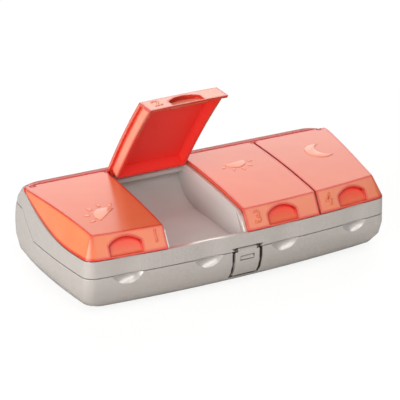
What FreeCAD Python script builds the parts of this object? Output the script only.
import FreeCAD, Part
import math
import os
import re
import Sketcher
from FreeCAD import Placement, Rotation, Vector

# Daily pill organizer: a hull-shaped case in two halves. The upper half is a
# tray with four compartments, each under its own lid, and the lower half is a
# deeper bin that a snap latch at the front keeps shut. All sizes are in
# millimetres. X runs along the row of lids, -Y faces the user and +Z is up,
# with the origin in the middle of the face that the case rests on.

# Driving dimensions: name, value and what it sets
SIZES = [
    ("end_reach", 62.3, "half of the case's length, at its widest"),
    ("front_reach", 32.5, "front face, measured forward from the origin"),
    ("rear_centre", 16.1, "axis of the rear round, behind the origin"),
    ("rear_round", 16.3, "radius of the rear round, half of the case's height"),
    ("front_bow", 500, "plan radius of the front face"),
    ("end_bow", 240, "plan radius of the end faces"),
    ("end_bow_centre", 8, "widest point of the end faces, behind the origin"),
    ("front_foot_round", 12.1, "round under the front face"),
    ("end_foot_round", 10, "round under the end faces"),
    ("front_corner", 4.5, "plan radius of the front corners"),
    ("rear_corner", 7.5, "plan radius of the rear corners"),
    ("end_draft", 0.03, "lean of the end faces per millimetre of height"),
    ("shell_wall", 1.6, "wall of the lower shell"),
    ("seam_height", 15, "seam between the halves, along front and ends"),
    ("seam_rear_height", 23.6, "seam and hinge axis at the rear"),
    ("seam_step_start", 9.1, "foot of the step in the seam"),
    ("seam_step_end", 19.1, "head of the step in the seam"),
    ("seam_gap", 0.3, "gap between the halves"),
    ("case_axis", 28.7, "hinge axis of the case, behind the origin"),
    ("case_bead", 2, "radius of the tray's hinge bead and of the knuckles"),
    ("case_bead_gap", 0.45, "room between the bead and its groove"),
    ("knuckle_centre", 42, "middle of each case knuckle along the length"),
    ("knuckle_width", 8, "width of each case knuckle"),
    ("case_pin", 1.5, "diameter of the case's hinge pins"),
    ("case_pin_length", 18, "length of the case's hinge pins"),
    ("pin_fit", 0.05, "radial running clearance on every pin and wire"),
    ("side_gap", 0.3, "gap beside a knuckle or an eye"),
    ("rim_height", 21.35, "joint between the lids and the tray at the front"),
    ("rim_flat_end", 18.9, "where the rim starts to rise, before the origin"),
    ("rim_radius", 69, "radius of the rising rim"),
    ("rim_gap", 0.3, "gap between the lids and the tray"),
    ("tray_wall", 1.7, "front and end walls of the tray"),
    ("tray_floor", 1.45, "floor of the tray"),
    ("scoop_radius", 15, "round at the back of each compartment's floor"),
    ("back_lip", 2.4, "front of the rear lip, before the hinge axis"),
    ("lip_depth", 4.7, "height of the rear lip, from the top of the case"),
    ("lip_undercut", 4.6, "how far the compartment runs back under the lip"),
    ("day_pitch", 30, "width of one day compartment, from wall to wall"),
    ("partition", 1.5, "thickness of the partitions"),
    ("partition_round", 6, "round at the front top of the partitions"),
    ("partition_drop", 2.45, "foot of that round, below the sharp corner"),
    ("partition_run", 2.8, "head of that round, behind the sharp corner"),
    ("lid_wall", 1.25, "wall of the lids"),
    ("lid_gap", 0.7, "gap between two lids"),
    ("lid_proud", 0.25, "how far the lids stand out over the tray's face"),
    ("crease_back", 4.25, "crease, behind the foot of the lid's front wall"),
    ("crease_height", 28.6, "height of the crease"),
    ("lid_arch", 0.75, "rise of the lid's top over its chord"),
    ("shoulder_half", 56, "end of the crease, from the middle"),
    ("shoulder_rear", 13.5, "rear of the end shoulder, behind the origin"),
    ("shoulder_bow", 300, "plan radius of the end shoulder"),
    ("shoulder_nose", 0.6, "blunt tip of the end shoulder"),
    ("shoulder_tip", 0.7, "plan radius of that tip"),
    ("skirt_inset", 0.95, "skirt, inward from the side of its lid"),
    ("skirt_drop", 4.4, "depth of the skirt under the lid's plate"),
    ("skirt_wall", 1, "thickness of the skirt"),
    ("thumb_width", 11.8, "width of the thumb recess"),
    ("thumb_foot", 22.1, "height of the recess's lower edge"),
    ("thumb_top", 27.3, "height of the recess's crown"),
    ("thumb_shoulder", 25.2, "height at which the recess's sides end"),
    ("thumb_foot_depth", 0.35, "depth of the recess at its foot"),
    ("thumb_top_depth", 2.1, "depth of the recess at its crown"),
    ("barrel", 1.1, "radius of the lids' hinge barrels"),
    ("barrel_gap", 0.3, "room round the barrels"),
    ("wire", 1, "diameter of the lids' hinge wire"),
    ("lug_width", 1.4, "width of the rail's outer hinge eyes"),
    ("lug_outside", 59.5, "outer face of the outer hinge eyes, from the middle"),
    ("rail_half", 59.5, "half of the hinge rail's length"),
    ("rail_front", 1.4, "front of the rail, behind the lids' axis"),
    ("rail_rear", 7.7, "rear edge of the rail, behind the lids' axis"),
    ("rail_wall", 1.2, "thickness of the rail"),
    ("rail_chamfer", 0.85, "chamfer that the open lids lean on"),
    ("noon_open", 57, "how far the second lid stands open"),
    ("eye_arm", 0.45, "height of the rail's arms over the lids' axis"),
    ("finger_radius", 10.5, "radius of the finger scoops"),
    ("finger_depth", 2.2, "depth of the finger scoops"),
    ("finger_foot", 11.4, "lower end of the finger scoops"),
    ("flute_radius", 33, "radius of the flutes over the finger scoops"),
    ("flute_depth", 0.55, "depth of the flutes"),
    ("latch_barrel", 1, "radius of the latch's barrel, on the seam"),
    ("latch_half", 4.75, "half of the latch's width"),
    ("latch_foot", 5, "height of the latch's lower edge"),
    ("latch_wall", 1.1, "thickness of the latch plate"),
    ("latch_gap", 1.2, "gap beside and below the latch"),
    ("latch_back_gap", 0.3, "gap behind the latch"),
    ("latch_pin_size", 0.8, "diameter of the latch's pin"),
    ("latch_knuckle", 0.95, "width of the tray's knuckles for the latch"),
    ("latch_lug", 0.75, "radius of the tray's knuckles for the latch"),
    ("window_half", 2.8, "half of the window's width in the latch"),
    ("window_top", 13, "upper edge of the window"),
    ("window_foot", 11.1, "lower edge of the window"),
    ("tooth_half", 2.5, "half of the snap tooth's width"),
    ("tooth_gap", 0.3, "gap above and below the snap tooth"),
    ("tooth_back", 0.3, "tooth's face, behind the latch's face"),
]

# Sizes that follow from the driving ones: name and formula
DERIVED = [
    ("case_height", "2 * rear_round"),
    ("lid_axis_height", "case_height - barrel"),
    ("rim_centre_height", "rim_height + rim_radius"),
    ("rim_rise", "rim_centre_height - sqrt(rim_radius^2 - (rear_centre + rim_flat_end)^2)"),
    ("floor_height", "seam_height + seam_gap / 2 + tray_floor"),
    ("lid_front", "front_reach + lid_proud"),
    ("crease_front", "lid_front - crease_back"),
    ("lid_slope", "crease_back / (crease_height - rim_height)"),
    ("crease_chord", "sqrt((rear_centre + crease_front)^2 + (case_height - crease_height)^2)"),
    ("arch_radius", "crease_chord^2 / (8 * lid_arch) + lid_arch / 2"),
    ("latch_axis", "front_reach - latch_barrel"),
    ("lid_head", "case_height + 1"),
    ("lid_shell_foot", "rim_height - rim_gap"),
    ("lid_clear", "lid_wall + rim_gap"),
    ("scoop_start", "rear_centre - back_lip + lip_undercut - scoop_radius"),
    ("lip_foot", "case_height - lip_depth"),
    ("barrel_end", "end_reach - end_draft * (lid_axis_height - end_foot_round) - end_bow"
     " + sqrt(end_bow^2 - (rear_centre - end_bow_centre)^2)"),
    ("finger_centre", "finger_foot + sqrt(finger_radius^2 - (finger_radius - finger_depth)^2)"),
    ("foot_centre", "front_reach - front_foot_round"),
    ("crease_rise", "(case_height - crease_height) / (rear_centre + crease_front)"
     " + 4 * lid_arch / crease_chord"),
    ("skirt_end", "rear_centre - back_lip - rim_gap"),
    ("latch_depth", "latch_wall + latch_back_gap"),
    ("latch_slot_half", "latch_half + latch_gap"),
    ("latch_slot_foot", "latch_foot - latch_gap"),
    ("latch_barrel_half", "latch_half - latch_knuckle - side_gap / 2"),
    ("thumb_crown", "thumb_width^2 / (8 * (thumb_top - thumb_shoulder))"
     " + (thumb_top - thumb_shoulder) / 2"),
    ("lid_lap", "2 * barrel"),
    ("beyond", "2 * end_reach"),
]

# Steps between the level outlines of the hull's outside and of its inside
OUTER_STEPS = 10
INNER_STEPS = 6
ZERO = "0"

doc = FreeCAD.newDocument("pill_organizer")
sheet = doc.addObject("Spreadsheet::Sheet", "Sizes")
NAMES = {name for name, *_ in SIZES} | {name for name, _ in DERIVED}


def sized(formula):
    """Return the formula with every size's name pointing at the sheet."""
    def point(word):
        return f"Sizes.{word[0]}" if word[0] in NAMES else word[0]

    return re.sub(r"[A-Za-z_]\w*", point, formula)


def fill_sheet():
    """Write the driving dimensions and what follows from them into the sheet."""
    for row, (name, value, note) in enumerate(SIZES, start=1):
        sheet.set(f"A{row}", name)
        sheet.set(f"B{row}", str(value))
        sheet.set(f"C{row}", note)
        sheet.setAlias(f"B{row}", name)
    doc.recompute()
    for row, (name, formula) in enumerate(DERIVED, start=len(SIZES) + 1):
        sheet.set(f"A{row}", name)
        sheet.set(f"B{row}", "=" + formula)
        sheet.setAlias(f"B{row}", name)
        doc.recompute()


def value(formula):
    """Work out a formula on the sheet's sizes as a number."""
    result = sheet.evalExpression(sized(formula))
    return float(getattr(result, "Value", result))


def bind(item, **formulas):
    """Tie properties of an object to formulas; Base_x stands for Placement.Base.x."""
    for name, formula in formulas.items():
        path = name.replace("Base_", "Placement.Base.")
        item.setExpression(path, sized(formula))
    return item


# Sketches and the solids made from them

PLANES = {
    "XY": (Rotation(), "Base_z", 1),
    "YZ": (Rotation(Vector(1, 1, 1), 120), "Base_x", 1),
    "XZ": (Rotation(Vector(1, 0, 0), 90), "Base_y", -1),
}


def new_sketch(name, plane, level):
    """Make an empty sketch on a plane, at a bound distance from the origin."""
    rotation, base, _ = PLANES[plane]
    sketch = doc.addObject("Sketcher::SketchObject", name)
    sketch.Placement = Placement(Vector(), rotation)
    bind(sketch, **{base: level})
    return sketch


def fix(sketch, kind, formula, *where):
    """Add one dimension to a sketch and tie it to a formula."""
    index = sketch.addConstraint(Sketcher.Constraint(kind, *where, value(formula)))
    sketch.setExpression(f"Constraints[{index}]", sized(formula))


def fix_point(sketch, edge, end, across, up):
    """Hold a point of an edge at two formulas from the sketch's origin."""
    fix(sketch, "DistanceX", across, -1, 1, edge, end)
    fix(sketch, "DistanceY", up, -1, 1, edge, end)


def draw_profile(sketch, path):
    """Draw a closed profile. Each point of the path is (across, up), reached by
    a line, or (across, up, radius, turn), reached by an arc that turns left (1)
    or right (-1)."""
    spots = [Vector(value(point[0]), value(point[1]), 0) for point in path]
    ends = []
    for index, point in enumerate(path):
        start, stop = spots[index - 1], spots[index]
        if len(point) == 2:
            sketch.addGeometry(Part.LineSegment(start, stop), False)
            ends.append((1, 2))
            continue
        radius, turn = value(point[2]), point[3]
        chord = stop - start
        drop = math.sqrt(radius ** 2 - chord.Length ** 2 / 4)
        centre = (start + stop) / 2 + Vector(-chord.y, chord.x, 0) * (turn * drop / chord.Length)
        first, last = (start, stop) if turn > 0 else (stop, start)
        angles = [math.atan2(spot.y - centre.y, spot.x - centre.x) for spot in (first, last)]
        circle = Part.Circle(centre, Vector(0, 0, 1), radius)
        sketch.addGeometry(Part.ArcOfCircle(circle, angles[0], angles[1]), False)
        ends.append((1, 2) if turn > 0 else (2, 1))
    for index, point in enumerate(path):
        following = (index + 1) % len(path)
        link = Sketcher.Constraint("Coincident", index, ends[index][1], following, ends[following][0])
        sketch.addConstraint(link)
    for index, point in enumerate(path):
        fix_point(sketch, index, ends[index][1], point[0], point[1])
        if len(point) > 2:
            fix(sketch, "Radius", point[2], index)


def prism(name, plane, path, start, length):
    """Extrude a closed profile along its plane's own axis, from start."""
    sketch = new_sketch(name + "_sketch", plane, start)
    draw_profile(sketch, path)
    solid = doc.addObject("Part::Extrusion", name)
    solid.Base = sketch
    solid.DirMode = "Normal"
    solid.Solid = True
    solid.Reversed = PLANES[plane][2] < 0
    return bind(solid, LengthFwd=length)


def block(name, corner, size):
    """Make a box from the formulas of its lowest corner and its size."""
    box = doc.addObject("Part::Box", name)
    bind(box, Length=size[0], Width=size[1], Height=size[2])
    return bind(box, Base_x=corner[0], Base_y=corner[1], Base_z=corner[2])


def rod(name, radius, start, length, across, up):
    """Make a cylinder along X from the formulas of its radius and place."""
    cylinder = doc.addObject("Part::Cylinder", name)
    cylinder.Placement = Placement(Vector(), Rotation(Vector(0, 1, 0), 90))
    bind(cylinder, Radius=radius, Height=length)
    return bind(cylinder, Base_x=start, Base_y=across, Base_z=up)


def fuse(name, *shapes):
    """Join solids into one."""
    joined = doc.addObject("Part::MultiFuse", name)
    joined.Shapes = list(shapes)
    return joined


def common(name, first, second):
    """Keep what two solids share."""
    shared = doc.addObject("Part::MultiCommon", name)
    shared.Shapes = [first, second]
    return shared


def cut(name, base, *tools):
    """Take one or more solids away from another."""
    result = doc.addObject("Part::Cut", name)
    result.Base = base
    result.Tool = tools[0] if len(tools) == 1 else fuse(name + "_tools", *tools)
    result.Refine = False
    return result


# The hull that both halves of the case share

def corner_centre(first, first_radius, second, second_radius, side):
    """Find where circles about two centres meet, on the given side in X."""
    gap = second - first
    along = (gap.Length ** 2 + first_radius ** 2 - second_radius ** 2) / (2 * gap.Length)
    off = math.sqrt(first_radius ** 2 - along ** 2)
    unit = gap / gap.Length
    spots = [first + unit * along + Vector(-unit.y, unit.x, 0) * off * way for way in (1, -1)]
    return max(spots, key=lambda spot: side * spot.x)


def angle_from(centre, spot):
    """Angle of a point about a centre, in radians."""
    return math.atan2(spot.y - centre.y, spot.x - centre.x)


def mirrored(centre):
    """Give the point on the other side of the case's middle."""
    return Vector(-centre.x, centre.y, 0)


def add_arcs(sketch, arcs, rear_end, rear):
    """Add arcs to a sketch; None stands for the straight rear edge."""
    for arc in arcs:
        if arc is None:
            start, stop = Vector(rear_end, rear, 0), Vector(-rear_end, rear, 0)
            sketch.addGeometry(Part.LineSegment(start, stop), False)
            continue
        centre, radius, first, last = arc
        circle = Part.Circle(centre, Vector(0, 0, 1), radius)
        sketch.addGeometry(Part.ArcOfCircle(circle, first, last), False)


def hull_outline(name, height, front, rear, end, inset):
    """Draw one level outline of the hull: a bowed front, two bowed ends and a
    straight rear, joined by tangent corners. Every argument is a formula."""
    sketch = new_sketch(name, "XY", height)
    bow = f"(front_bow - {inset})"
    end_bow = f"(end_bow - {inset})"
    front_round = f"(front_corner - {inset})"
    rear_round = f"(rear_corner - {inset})"
    front_middle = Vector(0, value(f"{front} + {bow}"), 0)
    end_middle = Vector(value(f"{end} - {end_bow}"), value("end_bow_centre"), 0)
    radii = [value(formula) for formula in (bow, front_round, end_bow, rear_round)]
    nose = corner_centre(front_middle, radii[0] - radii[1], end_middle, radii[2] - radii[1], 1)
    tail_up = value(rear) - radii[3]
    reach = math.sqrt((radii[2] - radii[3]) ** 2 - (tail_up - end_middle.y) ** 2)
    tail = Vector(end_middle.x + reach, tail_up, 0)
    swing = angle_from(front_middle, nose)
    low = angle_from(end_middle, nose)
    high = angle_from(end_middle, tail)
    half, full = math.pi / 2, math.pi
    arcs = [
        (front_middle, radii[0], -full - swing, swing),
        (nose, radii[1], swing, low),
        (end_middle, radii[2], low, high),
        (tail, radii[3], high, half),
        None,
        (mirrored(tail), radii[3], half, full - high),
        (mirrored(end_middle), radii[2], full - high, full - low),
        (mirrored(nose), radii[1], full - low, full - swing),
    ]
    add_arcs(sketch, arcs, tail.x, value(rear))
    for index in range(len(arcs)):
        sketch.addConstraint(Sketcher.Constraint("Tangent", index, 2, (index + 1) % len(arcs), 1))
    fix(sketch, "Radius", bow, 0)
    for index in (1, 7):
        fix(sketch, "Radius", front_round, index)
    for index in (3, 5):
        fix(sketch, "Radius", rear_round, index)
    for index, sign in ((2, ""), (6, "-")):
        fix(sketch, "Radius", end_bow, index)
        fix_point(sketch, index, 3, f"{sign}({end} - {end_bow})", "end_bow_centre")
    fix_point(sketch, 0, 3, ZERO, f"{front} + {bow}")
    fix(sketch, "DistanceY", rear, -1, 1, 4, 1)
    return sketch


def hull_front(height, inset):
    """Formula of the front face's place at a height."""
    rise = f"max(front_foot_round - ({height}); 0)"
    return f"(front_foot_round - front_reach - sqrt((front_foot_round - {inset})^2 - {rise}^2))"


def hull_end(height, inset):
    """Formula of the end face's place at a height."""
    rise = f"max(end_foot_round - ({height}); 0)"
    lean = f"end_draft * max(({height}) - end_foot_round; 0)"
    return f"(end_reach - end_foot_round + sqrt((end_foot_round - {inset})^2 - {rise}^2) - {lean})"


def hull(name, inset, steps):
    """Loft the hull through level outlines that are evenly spaced round the
    rear round, set inward all over by the formula given."""
    outlines = []
    for step in range(steps + 1):
        turn = 180 * step / steps
        height = f"rear_round - (rear_round - {inset}) * cos({turn})"
        rear = f"rear_centre + (rear_round - {inset}) * sin({turn})"
        front, end = hull_front(height, inset), hull_end(height, inset)
        outlines.append(hull_outline(f"{name}_level_{step}", height, front, rear, end, inset))
    loft = doc.addObject("Part::Loft", name)
    loft.Sections = outlines
    loft.Solid = True
    loft.Ruled = True
    return loft


# The lids, as one long form that is later divided into four

def lid_foot_outline(name, height, front, end, inset):
    """Draw the level outline at the foot of the lids: round front corners, and
    each end in two arcs that part where the shoulder ends."""
    sketch = new_sketch(name, "XY", height)
    bow, end_bow = f"(front_bow - {inset})", f"(end_bow - {inset})"
    corner = f"(front_corner - {inset})"
    rear = "rear_centre + lid_lap"
    front_middle = Vector(0, value(f"{front} + {bow}"), 0)
    end_middle = Vector(value(f"{end} - {end_bow}"), value("end_bow_centre"), 0)
    radii = [value(formula) for formula in (bow, corner, end_bow)]
    nose = corner_centre(front_middle, radii[0] - radii[1], end_middle, radii[2] - radii[1], 1)
    swing, low = angle_from(front_middle, nose), angle_from(end_middle, nose)
    split = math.asin((value("shoulder_rear") - end_middle.y) / radii[2])
    high = math.asin((value(rear) - end_middle.y) / radii[2])
    full = math.pi
    arcs = [
        (front_middle, radii[0], -full - swing, swing),
        (nose, radii[1], swing, low),
        (end_middle, radii[2], low, split),
        (end_middle, radii[2], split, high),
        None,
        (mirrored(end_middle), radii[2], full - high, full - split),
        (mirrored(end_middle), radii[2], full - split, full - low),
        (mirrored(nose), radii[1], full - low, full - swing),
    ]
    add_arcs(sketch, arcs, end_middle.x + radii[2] * math.cos(high), value(rear))
    for first, second in ((0, 1), (1, 2), (6, 7), (7, 0)):
        sketch.addConstraint(Sketcher.Constraint("Tangent", first, 2, second, 1))
    for first, second in ((2, 3), (3, 4), (4, 5), (5, 6)):
        sketch.addConstraint(Sketcher.Constraint("Coincident", first, 2, second, 1))
    for first, second in ((2, 3), (5, 6)):
        sketch.addConstraint(Sketcher.Constraint("Coincident", first, 3, second, 3))
    fix(sketch, "Radius", bow, 0)
    fix_point(sketch, 0, 3, ZERO, f"{front} + {bow}")
    for index in (1, 7):
        fix(sketch, "Radius", corner, index)
    for index, sign in ((2, ""), (6, "-")):
        fix(sketch, "Radius", end_bow, index)
        fix_point(sketch, index, 3, f"{sign}({end} - {end_bow})", "end_bow_centre")
    fix(sketch, "DistanceY", "shoulder_rear", -1, 1, 2, 2)
    fix(sketch, "DistanceY", "shoulder_rear", -1, 1, 6, 1)
    fix(sketch, "DistanceY", rear, -1, 1, 4, 1)
    fix(sketch, "DistanceY", rear, -1, 1, 4, 2)
    return sketch


def lid_top_outline(name, height, front, end, inset):
    """Draw a level outline of the lids at or over the crease: a bowed shoulder
    cuts each front corner off, from the crease back to the end face."""
    sketch = new_sketch(name, "XY", height)
    rear = "(rear_centre + lid_lap)"
    end_bow = f"(end_bow - {inset})"
    shoulder_bow = f"(shoulder_bow - {inset})"
    tip = f"(shoulder_half - lid_slope * ({height} - crease_height) - {inset} * 0.8)"
    edge = f"({tip} - shoulder_nose)"
    edge_up = f"({front} + front_bow - sqrt(front_bow^2 - {edge}^2))"
    shoulder_end = end_face(end, end_bow, "shoulder_rear")
    rear_end = end_face(end, end_bow, rear)
    draw_profile(sketch, [
        (f"-{edge}", edge_up, "shoulder_tip", 1),
        (edge, edge_up, "front_bow", 1),
        (tip, f"{edge_up} + shoulder_nose", "shoulder_tip", 1),
        (shoulder_end, "shoulder_rear", shoulder_bow, 1),
        (rear_end, rear, end_bow, 1),
        (f"-{rear_end}", rear),
        (f"-{shoulder_end}", "shoulder_rear", end_bow, 1),
        (f"-{tip}", f"{edge_up} + shoulder_nose", shoulder_bow, 1),
    ])
    return sketch


def end_face(end, end_bow, across):
    """Formula of a point on a bowed end face, from its place along Y."""
    return f"({end} - {end_bow} + sqrt({end_bow}^2 - ({across} - end_bow_centre)^2))"


def lid_form(name, inset):
    """Loft the closed lids' outer form, set inward and down by the formula."""
    outlines = []
    for number, height in enumerate(("lid_shell_foot", "crease_height", "lid_head")):
        front = f"(lid_slope * ({height} - rim_height) - lid_front + {inset})"
        end = hull_end(height, inset)
        draw = lid_top_outline if number else lid_foot_outline
        outlines.append(draw(f"{name}_level_{number}", height, front, end, inset))
    loft = doc.addObject("Part::Loft", name + "_loft")
    loft.Sections = outlines
    loft.Solid = True
    loft.Ruled = True
    under = prism(name + "_under", "YZ", [
        ("-beyond", ZERO),
        ("beyond", ZERO),
        ("beyond", f"case_height - {inset}"),
        ("rear_centre", f"case_height - {inset}"),
        ("-crease_front", f"crease_height - {inset}", "arch_radius", 1),
        ("-beyond", f"crease_height - {inset}"),
    ], "-beyond", "2 * beyond")
    return common(name, loft, under)


def arch(name, border):
    """Extrude the outline of the thumb recess, widened by a border."""
    half = f"(thumb_width / 2 + {border})"
    return prism(name, "XZ", [
        (f"-{half}", f"thumb_foot - {border}"),
        (half, f"thumb_foot - {border}"),
        (half, "thumb_shoulder"),
        (f"-{half}", "thumb_shoulder", f"thumb_crown + {border}", 1),
    ], "-beyond", "beyond")


def before_floor(name, behind):
    """Make the space before the recess's leaning floor, moved back by a formula."""
    def floor_at(height, depth):
        return f"lid_slope * ({height} - rim_height) - lid_front + {depth} + {behind}"

    return prism(name, "YZ", [
        ("-beyond", "thumb_foot - lid_lap"),
        (floor_at("thumb_foot", "thumb_foot_depth"), "thumb_foot - lid_lap"),
        (floor_at("thumb_foot", "thumb_foot_depth"), "thumb_foot"),
        (floor_at("thumb_top", "thumb_top_depth"), "thumb_top"),
        (floor_at("thumb_top", "thumb_top_depth"), "beyond"),
        ("-beyond", "beyond"),
    ], "-thumb_width", "2 * thumb_width")


def on_bow(name, item, reach, number):
    """Copy a shape to the middle of a compartment, round the front's bow."""
    copy = doc.addObject("Part::Compound", name)
    copy.Links = [item]
    turn = f"asin(({number} - 1.5) * day_pitch / front_bow)"
    place = (
        "create(<<placement>>; create(<<vector>>; 0; 0; 0);"
        f" create(<<rotation>>; create(<<vector>>; 0; 0; 1); {turn});"
        f" create(<<vector>>; 0; front_bow - {reach}; 0))"
    )
    copy.setExpression("Placement", sized(place))
    return copy


def along_axis(name, radius, start, length):
    """Make a cylinder on the lids' hinge axis."""
    return rod(name, radius, start, length, "rear_centre", "lid_axis_height")


def eye_spans():
    """Give the start and width of each partition's eye and each end lug."""
    spans = [(f"{place} * day_pitch - partition / 2", "partition") for place in (-1, 0, 1)]
    spans.append(("-lug_outside", "lug_width"))
    spans.append(("lug_outside - lug_width", "lug_width"))
    return spans


def lid_sides(number):
    """Give the start and end of a lid's plate and of its hinge barrel."""
    left, right = f"({number} - 2) * day_pitch", f"({number} - 1) * day_pitch"
    plate = [f"({left} + lid_gap / 2)", f"({right} - lid_gap / 2)"]
    barrel = list(plate)
    if number == 0:
        plate[0], barrel[0] = "(-beyond)", "(-barrel_end)"
    if number == 3:
        plate[1], barrel[1] = "beyond", "barrel_end"
    return plate, barrel


def make_lid(name, number, forms):
    """Make one lid: plate, front wall, skirts, barrel and thumb recess."""
    plate, barrel = lid_sides(number)
    width = f"{plate[1]} - {plate[0]}"
    bay = block(f"{name}_bay", (plate[0], "-beyond", ZERO), (width, "2 * beyond", "beyond"))
    pieces = [common(f"{name}_skin", forms["skin"], bay)]
    edges = []
    if number > 0:
        edges.append(f"{plate[0]} + skirt_inset")
    if number < 3:
        edges.append(f"{plate[1]} - skirt_inset - skirt_wall")
    size = ("skirt_wall", "beyond + skirt_end", "beyond")
    strips = [block(f"{name}_strip_{side}", (edge, "-beyond", ZERO), size)
              for side, edge in enumerate(edges)]
    left = f"{plate[0]} + skirt_inset" if number > 0 else "2 * tray_wall - end_reach"
    right = f"{plate[1]} - skirt_inset" if number < 3 else "end_reach - 2 * tray_wall"
    strips.append(block(f"{name}_back_strip", (left, "skirt_end - skirt_wall", ZERO),
                        (f"{right} - ({left})", "skirt_wall", "beyond")))
    hung = cut(f"{name}_hung", fuse(f"{name}_strips", *strips), forms["under"])
    pieces.append(common(f"{name}_skirt", hung, forms["outer"]))
    length = f"{barrel[1]} - {barrel[0]}"
    pieces.append(along_axis(f"{name}_barrel", "barrel", barrel[0], length))
    boss = on_bow(f"{name}_boss_place", forms["boss"], "lid_front", number)
    pieces.append(common(f"{name}_boss", forms["solid"], boss))
    recess = on_bow(f"{name}_recess", forms["recess"], "lid_front", number)
    whole = fuse(f"{name}_whole", *pieces)
    return cut(name, cut(f"{name}_thumbed", whole, recess), forms["notches"])


def make_lids():
    """Make the four lids from one long form; the second one stands open."""
    outer = lid_form("lid_outer", ZERO)
    inner = lid_form("lid_inner", "lid_wall")
    core = lid_form("lid_core", "lid_clear")
    band = prism("lid_band", "YZ", [
        ("-beyond", "rim_height + rim_gap / 2"),
        ("-rim_flat_end", "rim_height + rim_gap / 2"),
        ("rear_centre", "rim_rise + rim_gap / 2", "rim_radius - rim_gap / 2", 1),
        ("rear_centre", "beyond"),
        ("-beyond", "beyond"),
    ], "-beyond", "2 * beyond")
    solid = common("lid_solid", outer, band)
    skin = cut("lid_skin", solid, inner)
    under = prism("skirt_under", "YZ", [
        ("-beyond", ZERO),
        ("rear_centre", ZERO),
        ("rear_centre", "case_height - lid_wall - skirt_drop"),
        ("-crease_front", "crease_height - lid_wall - skirt_drop", "arch_radius", 1),
        ("-beyond", "crease_height - lid_wall - skirt_drop"),
    ], "-beyond", "2 * beyond")
    boss_back = before_floor("thumb_back", "lid_wall")
    boss = common("thumb_boss", arch("thumb_boss_arch", "lid_wall"), boss_back)
    recess = common("thumb_recess", arch("thumb_arch", ZERO), before_floor("thumb_floor", ZERO))
    room = "barrel + barrel_gap"
    notches = [along_axis(f"eye_notch_{index}", room, f"{start} - side_gap", f"{width} + 2 * side_gap")
               for index, (start, width) in enumerate(eye_spans())]
    notches.append(along_axis("wire_bore", "wire / 2 + pin_fit", "-beyond", "2 * beyond"))
    forms = {"outer": outer, "skin": skin, "under": under, "solid": solid, "boss": boss, "recess": recess}
    forms["notches"] = fuse("eye_notches", *notches)
    lids = {}
    for number, name in enumerate(("lid_morning", "lid_noon", "lid_evening", "lid_night")):
        lids[name] = make_lid(name, number, forms)
    place = (
        "create(<<placement>>; create(<<vector>>; 0; 0; 0);"
        " create(<<rotation>>; create(<<vector>>; 1; 0; 0); -noon_open);"
        " create(<<vector>>; 0; rear_centre; lid_axis_height))"
    )
    lids["lid_noon"].setExpression("Placement", sized(place))
    return lids, core


# The tray with its four compartments

def make_compartments():
    """Make the four bays: a flat floor that scoops up under the rear lip."""
    lip_back = "scoop_start + sqrt(scoop_radius^2 - (floor_height + scoop_radius - lip_foot)^2)"
    lip_front = "rear_centre - back_lip"
    row = prism("bay_row", "YZ", [
        ("-beyond", "floor_height"),
        ("scoop_start", "floor_height"),
        (lip_back, "lip_foot", "scoop_radius", 1),
        (lip_front, "lip_foot"),
        (lip_front, "beyond"),
        ("-beyond", "beyond"),
    ], "-beyond", "2 * beyond")
    inside = common("bays_inside", row, hull("tray_inside", "tray_wall", INNER_STEPS))
    return cut("bays", inside, partition_slabs("bay"))


def partition_corner():
    """Make what is cut off the partitions, outside their rounded front top."""
    corner = "(crease_height - lid_clear)"
    foot = f"({corner} - partition_drop)"
    corner_back = f"(lid_slope * ({corner} - rim_height) - lid_front + lid_clear)"
    head_back = f"({corner_back} + partition_run)"
    return prism("partition_corner", "YZ", [
        ("-beyond", foot),
        (f"lid_slope * ({foot} - rim_height) - lid_front + lid_clear", foot),
        (head_back, f"{corner} + partition_run * crease_rise", "partition_round", -1),
        (head_back, "beyond"),
        ("-beyond", "beyond"),
    ], "-beyond", "2 * beyond")


def partition_slabs(name):
    """Make a plain slab, taller than the case, at each partition."""
    size = ("partition", "2 * beyond", "beyond")
    starts = [f"{place} * day_pitch - partition / 2" for place in (-1, 0, 1)]
    slabs = [block(f"{name}_slab_{index}", (start, "-beyond", ZERO), size)
             for index, start in enumerate(starts)]
    return fuse(f"{name}_slabs", *slabs)


def four_on_front(name, master):
    """Repeat a shape at the front of the four compartments."""
    return fuse(name, *[on_bow(f"{name}_{number}", master, "front_reach", number) for number in range(4)])


def finger_balls(name, wall):
    """Make the round scoops below the seam, widened by a formula."""
    ball = doc.addObject("Part::Sphere", name + "_ball")
    across = "finger_depth - front_reach - finger_radius"
    bind(ball, Radius=f"finger_radius + {wall}", Base_y=across, Base_z="finger_centre")
    return four_on_front(name, ball)


def finger_flutes():
    """Make the shallow flutes that lead from the lids down to the scoops."""
    flute = doc.addObject("Part::Cylinder", "flute_upright")
    across = "flute_depth - front_reach - flute_radius"
    bind(flute, Radius="flute_radius", Height="beyond", Base_y=across)
    return four_on_front("finger_flutes", flute)


def on_seam(name, radius, start, length):
    """Make a cylinder on the latch's axis."""
    return rod(name, radius, start, length, "-latch_axis", "seam_height")


def on_case_axis(name, radius, start, length):
    """Make a cylinder on the case's hinge axis."""
    return rod(name, radius, start, length, "case_axis", "seam_rear_height")


def case_knuckles(name, radius, margin):
    """Make both case knuckles, each longer than its width by two margins."""
    width = f"knuckle_width + 2 * {margin}"
    starts = [f"{sign}knuckle_centre - knuckle_width / 2 - {margin}" for sign in ("-", "")]
    return [on_case_axis(f"{name}_{side}", radius, start, width)
            for side, start in zip(("left", "right"), starts)]


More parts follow.
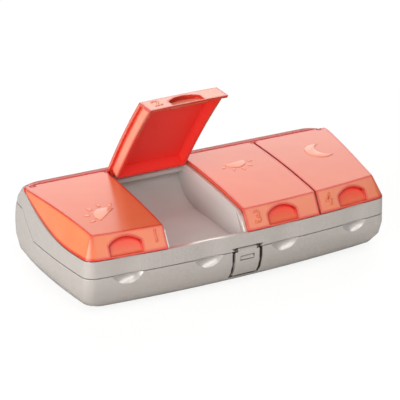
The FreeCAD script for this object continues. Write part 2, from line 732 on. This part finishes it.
def case_pin_bores(name):
    """Make the bores for both case hinge pins."""
    starts = [f"{sign}knuckle_centre - case_pin_length / 2 - pin_fit" for sign in ("-", "")]
    radius, length = "case_pin / 2 + pin_fit", "case_pin_length + 2 * pin_fit"
    return [on_case_axis(f"{name}_{side}", radius, start, length)
            for side, start in zip(("left", "right"), starts)]


def make_tray(hull_outer, core):
    """Make the compartment tray."""
    seam, seam_rear = "seam_height + seam_gap / 2", "seam_rear_height + seam_gap / 2"
    envelope = prism("tray_envelope", "YZ", [
        ("-beyond", seam),
        ("seam_step_start", seam),
        ("seam_step_end", seam_rear),
        ("beyond", seam_rear),
        ("beyond", "beyond"),
        ("rear_centre", "beyond"),
        ("rear_centre", "rim_rise - rim_gap / 2"),
        ("-rim_flat_end", "rim_height - rim_gap / 2", "rim_radius + rim_gap / 2", -1),
        ("-beyond", "rim_height - rim_gap / 2"),
    ], "-beyond", "2 * beyond")
    inner = "rear_round - rail_wall"
    rail_front, rail_rear = "rear_centre + rail_front", "rear_centre + rail_rear + pin_fit"
    seat = prism("rail_seat", "YZ", [
        (rail_front, f"rear_round + sqrt(({inner})^2 - rail_front^2)"),
        (rail_front, "beyond"),
        (rail_rear, "beyond"),
        (rail_rear, f"rear_round + sqrt(({inner})^2 - (rail_rear + pin_fit)^2)"),
    ], "-rail_half - pin_fit", "2 * rail_half + 2 * pin_fit")
    trough = along_axis("trough", "barrel + barrel_gap", "-beyond", "2 * beyond")
    slot = block("trough_slot", ("-beyond", "rear_centre", "lid_axis_height - side_gap"),
                 ("2 * beyond", "rail_front", "beyond"))
    body = cut("tray_block", common("tray_hull", hull_outer, envelope), make_compartments(), seat)
    walls = cut("partitions", common("partition_row", core, partition_slabs("tray")), partition_corner())
    bead = on_case_axis("case_bead_rod", "case_bead", "-beyond", "2 * beyond")
    joined = fuse("tray_joined", body, walls, common("case_bead_part", hull_outer, bead))
    tools = case_knuckles("knuckle_room", "case_bead + case_bead_gap", "side_gap")
    tools += case_pin_bores("tray_bore")
    tools += latch_notch()
    hollow = cut("tray_hollow", joined, trough, slot, finger_flutes(), *tools)
    carried = fuse("tray_with_knuckles", hollow, *latch_knuckles())
    return cut("compartment_tray", carried, latch_bore("tray_latch_bore"))


def latch_notch():
    """Make the notch in the tray's face that the latch's barrel turns in."""
    start, width = "-latch_half - side_gap", "2 * latch_half + 2 * side_gap"
    front = block("latch_notch_front", (start, "-beyond", "seam_height"),
                  (width, "beyond - latch_axis", "latch_barrel + side_gap"))
    return [on_seam("latch_notch", "latch_barrel + side_gap", start, width), front]


def latch_knuckles():
    """Make the tray's two knuckles that carry the latch's pin."""
    pieces = []
    for side, start in (("left", "-latch_half"), ("right", "latch_half - latch_knuckle")):
        pieces.append(on_seam(f"latch_knuckle_{side}", "latch_lug", start, "latch_knuckle"))
        pieces.append(block(f"latch_web_{side}", (start, "-latch_axis", "seam_height"),
                            ("latch_knuckle", "latch_lug", "latch_barrel + 2 * side_gap")))
    return pieces


def latch_bore(name):
    """Make the bore of the latch's pin."""
    radius = "latch_pin_size / 2 + pin_fit"
    return on_seam(name, radius, "-latch_half - side_gap", "2 * latch_half + 2 * side_gap")


# The lower shell

def latch_pocket(name, depth, half, foot, head, toe=None):
    """Make the space before a surface that follows the front at a depth, from
    a foot up to a head; a toe lets it run straight down below the foot."""
    inner = f"(front_foot_round - {depth})"
    foot_back = f"-foot_centre - sqrt({inner}^2 - (front_foot_round - {foot})^2)"
    start = [("-beyond", toe), (foot_back, toe)] if toe else [("-beyond", foot)]
    return prism(name, "YZ", start + [
        (foot_back, foot),
        (f"{depth} - front_reach", "front_foot_round", inner, -1),
        (f"{depth} - front_reach", head),
        ("-beyond", head),
    ], f"-({half})", f"2 * ({half})")


def make_lower_shell(hull_outer):
    """Make the lower shell: a deep bin with a snap tooth and hinge knuckles."""
    seam, seam_rear = "seam_height - seam_gap / 2", "seam_rear_height - seam_gap / 2"
    below = prism("below_seam", "YZ", [
        ("-beyond", "-beyond"),
        ("beyond", "-beyond"),
        ("beyond", seam_rear),
        ("seam_step_end", seam_rear),
        ("seam_step_start", seam),
        ("-beyond", seam),
    ], "-beyond", "2 * beyond")
    solid = common("shell_solid", hull_outer, below)
    pad = latch_pocket("latch_pad", "(latch_depth + shell_wall)", "latch_slot_half + shell_wall",
                       "latch_slot_foot", seam, "latch_slot_foot - shell_wall")
    pads = fuse("front_pads", pad, finger_balls("finger_backs", "shell_wall"))
    inside = hull("shell_inside", "shell_wall", INNER_STEPS)
    walls = fuse("shell_walls", cut("shell_open", solid, inside), common("front_backing", solid, pads))
    groove = on_case_axis("case_groove", "case_bead + case_bead_gap", "-beyond", "2 * beyond")
    spared = case_knuckles("groove_room", "case_bead + 2 * case_bead_gap", ZERO)
    slot = latch_pocket("latch_slot", "latch_depth", "latch_slot_half", "latch_slot_foot", "beyond")
    room = "latch_barrel + side_gap"
    notch = on_seam("shell_latch_notch", room, "-latch_slot_half", "2 * latch_slot_half")
    groove_cut = cut("groove_cut", groove, *spared)
    opened = cut("shell_slotted", walls, groove_cut, slot, notch, finger_balls("finger_scoops", ZERO))
    rods = case_knuckles("case_knuckle", "case_bead", ZERO)
    knuckles = [common(f"shell_{knuckle.Name}", hull_outer, knuckle) for knuckle in rods]
    tooth = prism("snap_tooth", "YZ", [
        ("tooth_back - front_reach", "window_foot + tooth_gap"),
        ("latch_depth + tooth_back - front_reach", "window_foot + tooth_gap"),
        ("latch_depth + tooth_back - front_reach", "window_top - tooth_gap"),
        ("2 * tooth_back - front_reach", "window_top - tooth_gap"),
        ("tooth_back - front_reach", "window_top - tooth_gap - tooth_back"),
    ], "-tooth_half", "2 * tooth_half")
    return cut("lower_shell", fuse("shell_joined", opened, tooth, *knuckles), *case_pin_bores("shell_bore"))


# The small pieces

def make_rail(hull_outer):
    """Make the coral strip behind the lids, with the eyes that they hang from."""
    inner = "(rear_round - rail_wall)"
    front, rear = "rear_centre + rail_front", "rear_centre + rail_rear"
    strip = prism("rail_strip", "YZ", [
        (front, f"rear_round + sqrt({inner}^2 - rail_front^2)"),
        (front, "case_height - rail_chamfer"),
        (f"{front} + rail_chamfer", "case_height"),
        (f"{front} + rail_chamfer", "beyond"),
        (rear, "beyond"),
        (rear, f"rear_round + sqrt({inner}^2 - rail_rear^2)"),
    ], "-rail_half", "2 * rail_half")
    pieces = [common("rail_bar", hull_outer, strip)]
    arm_foot = f"rear_round + sqrt({inner}^2 - rail_front^2)"
    for index, (start, width) in enumerate(eye_spans()):
        pieces.append(along_axis(f"eye_{index}", "barrel", start, width))
        pieces.append(block(f"eye_arm_{index}", (start, "rear_centre", arm_foot),
                            (width, "rail_front + rail_wall", f"lid_axis_height + eye_arm - ({arm_foot})")))
    bore = along_axis("rail_wire_bore", "wire / 2 + pin_fit", "-beyond", "2 * beyond")
    return cut("hinge_rail", fuse("rail_with_eyes", *pieces), bore)


def make_latch():
    """Make the snap latch: a curved plate with a window and a hinge barrel."""
    inner = "(front_foot_round - latch_wall)"
    drop = "(front_foot_round - latch_foot)"
    plate = prism("latch_plate", "YZ", [
        ("-front_reach", "seam_height"),
        ("-front_reach", "front_foot_round"),
        (f"-foot_centre - sqrt(front_foot_round^2 - {drop}^2)", "latch_foot", "front_foot_round", 1),
        (f"-foot_centre - sqrt({inner}^2 - {drop}^2)", "latch_foot"),
        ("latch_wall - front_reach", "front_foot_round", inner, -1),
        ("latch_wall - front_reach", "seam_height"),
    ], "-latch_half", "2 * latch_half")
    barrel = on_seam("latch_barrel_rod", "latch_barrel", "-latch_barrel_half", "2 * latch_barrel_half")
    window = block("latch_window", ("-window_half", "-front_reach - latch_wall", "window_foot"),
                   ("2 * window_half", "3 * latch_wall", "window_top - window_foot"))
    width = "latch_half - latch_barrel_half + side_gap"
    ends = [on_seam(f"latch_end_{side}", "latch_lug + side_gap", start, width)
            for side, start in (("left", "-latch_half - side_gap"), ("right", "latch_barrel_half"))]
    joined = fuse("latch_joined", cut("latch_cleared", plate, *ends), barrel)
    return cut("front_latch", joined, window, latch_bore("latch_own_bore"))


def make_pin(name, radius, start, length, across, up):
    """Make a round pin as a body: a circle, padded along X."""
    body = doc.addObject("PartDesign::Body", name)
    sketch = body.newObject("Sketcher::SketchObject", name + "_circle")
    plane = next(item for item in body.Origin.OriginFeatures if item.Role == "YZ_Plane")
    sketch.AttachmentSupport = [(plane, "")]
    sketch.MapMode = "FlatFace"
    sketch.addGeometry(Part.Circle(Vector(), Vector(0, 0, 1), value(radius)), False)
    sketch.addConstraint(Sketcher.Constraint("Coincident", 0, 3, -1, 1))
    fix(sketch, "Radius", radius, 0)
    pad = body.newObject("PartDesign::Pad", name + "_pad")
    pad.Profile = sketch
    bind(pad, Length=length)
    return bind(body, Base_x=start, Base_y=across, Base_z=up)


def make_pins():
    """Make the hinge wire and the pins."""
    pins = {
        "lid_hinge_wire": make_pin("lid_hinge_wire", "wire / 2", "-lug_outside", "2 * lug_outside",
                                   "rear_centre", "lid_axis_height"),
        "latch_pin": make_pin("latch_pin", "latch_pin_size / 2", "-latch_half", "2 * latch_half",
                              "-latch_axis", "seam_height"),
    }
    for side, sign in (("left", "-"), ("right", "")):
        name = f"case_hinge_pin_{side}"
        pins[name] = make_pin(name, "case_pin / 2", f"{sign}knuckle_centre - case_pin_length / 2",
                              "case_pin_length", "case_axis", "seam_rear_height")
    return pins


def make_parts():
    """Make every sub-part and return them by name."""
    hull_outer = hull("hull_outer", ZERO, OUTER_STEPS)
    parts, core = make_lids()
    parts["compartment_tray"] = make_tray(hull_outer, core)
    parts["lower_shell"] = make_lower_shell(hull_outer)
    parts["hinge_rail"] = make_rail(hull_outer)
    parts["front_latch"] = make_latch()
    parts.update(make_pins())
    return parts


def check(parts):
    """Stop if anything in the document failed or a sub-part isn't sound."""
    for item in doc.Objects:
        if {"Invalid", "Error"} & set(item.State):
            raise RuntimeError(f"{item.Name} failed: {item.State}")
    for name, part in parts.items():
        shape = part.Shape
        if shape.isNull() or not shape.isValid() or not shape.Solids:
            raise RuntimeError(f"{name} has no sound solid")
        print(f"{name}: {len(shape.Solids)} solid(s), {shape.Volume:.1f} mm3, {len(shape.Faces)} faces")


def main():
    """Build the document and write each sub-part's solid."""
    fill_sheet()
    parts = make_parts()
    for name, part in parts.items():
        part.Label = name
    doc.recompute()
    check(parts)
    os.makedirs("parts", exist_ok=True)
    for name, part in parts.items():
        part.Shape.exportStep(f"parts/{name}.step")


main()
